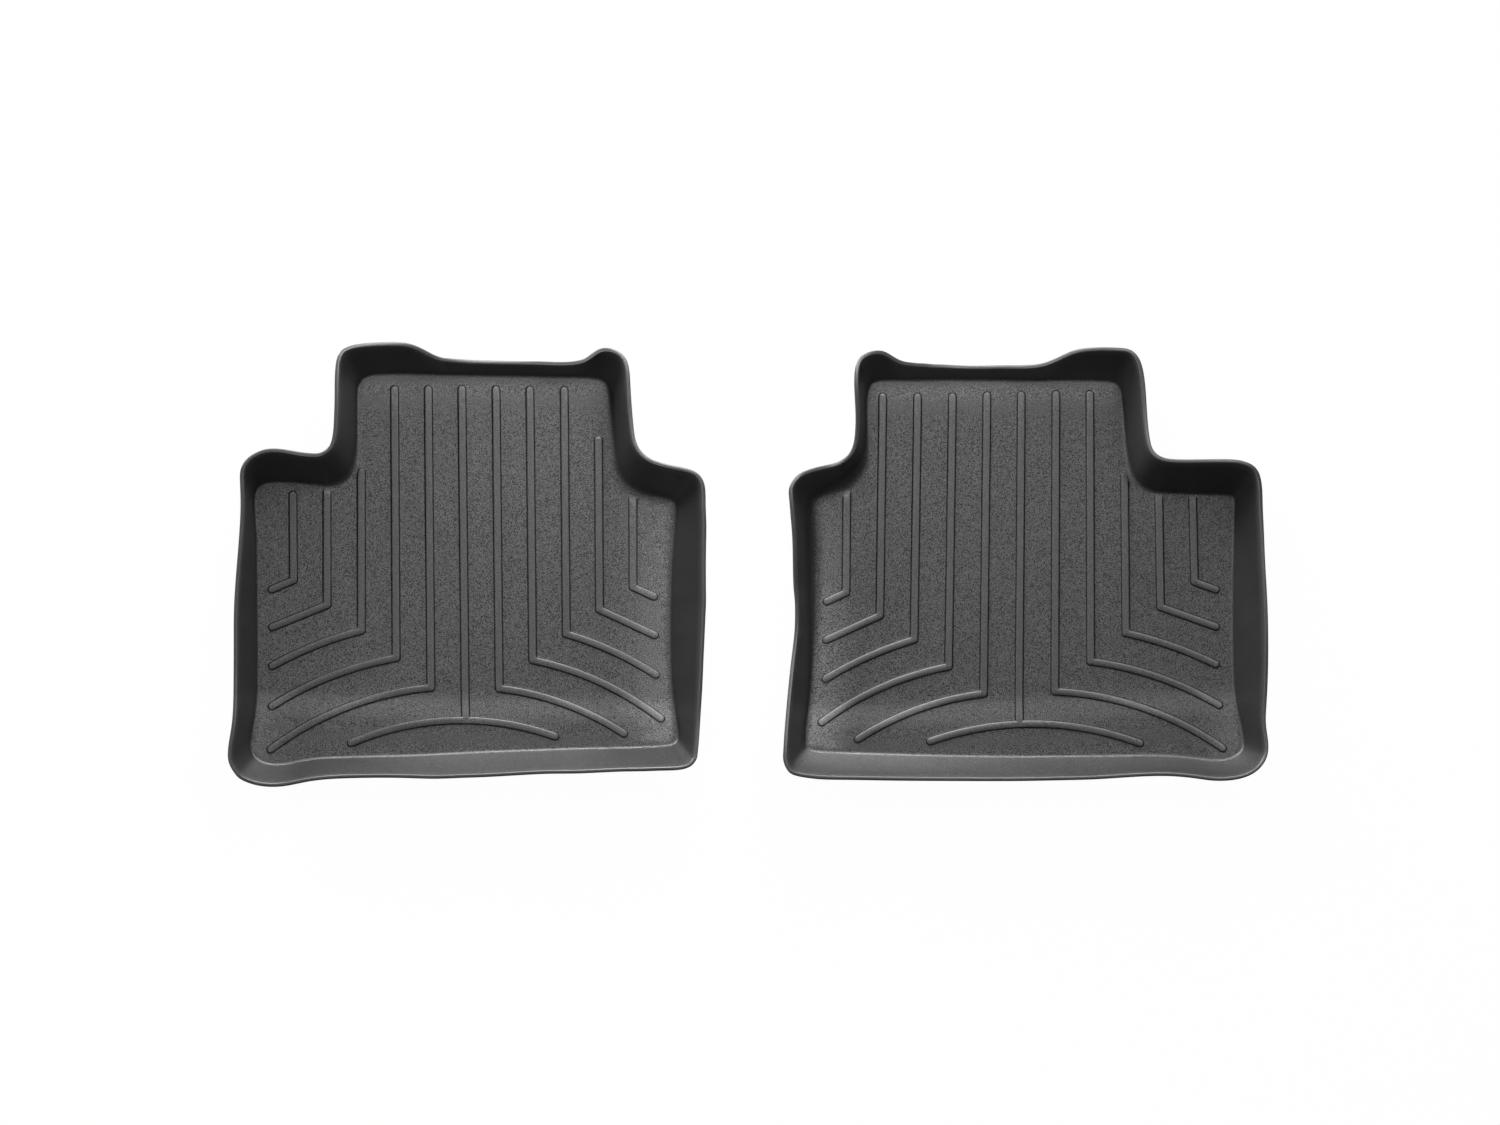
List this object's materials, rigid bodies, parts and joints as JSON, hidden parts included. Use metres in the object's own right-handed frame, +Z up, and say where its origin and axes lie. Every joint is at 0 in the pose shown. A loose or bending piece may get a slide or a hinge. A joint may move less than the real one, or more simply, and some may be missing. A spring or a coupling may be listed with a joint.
{
  "type": "floor mat set",
  "caption": "Pair of moulded rear footwell liners: raised-wall trays with a heel ramp, shaped front necks and swept drainage ribs.",
  "frame": {"origin": "bottom centre of the set's bounding box, on the carpet plane midway between the two liners", "axes": "+X across the vehicle towards the right-hand liner, +Y from the heel edge towards the narrower front neck, +Z up out of the footwell"},
  "size_m": [1.0953, 0.4611, 0.0758],
  "materials": {
    "liner_black": "matte black thermoplastic elastomer: fine moulded grain on the floor, smooth walls and rim"
  },
  "bodies": {
    "left_liner": {"left_floor_liner": "liner_black"},
    "right_liner": {"right_floor_liner": "liner_black"}
  },
  "joints": [
    {"name": "right_liner_lift", "type": "slide", "parent": "left_liner", "child": "right_liner", "axis": [0, 0, 1], "range_m": [0, 0.12]}
  ]
}
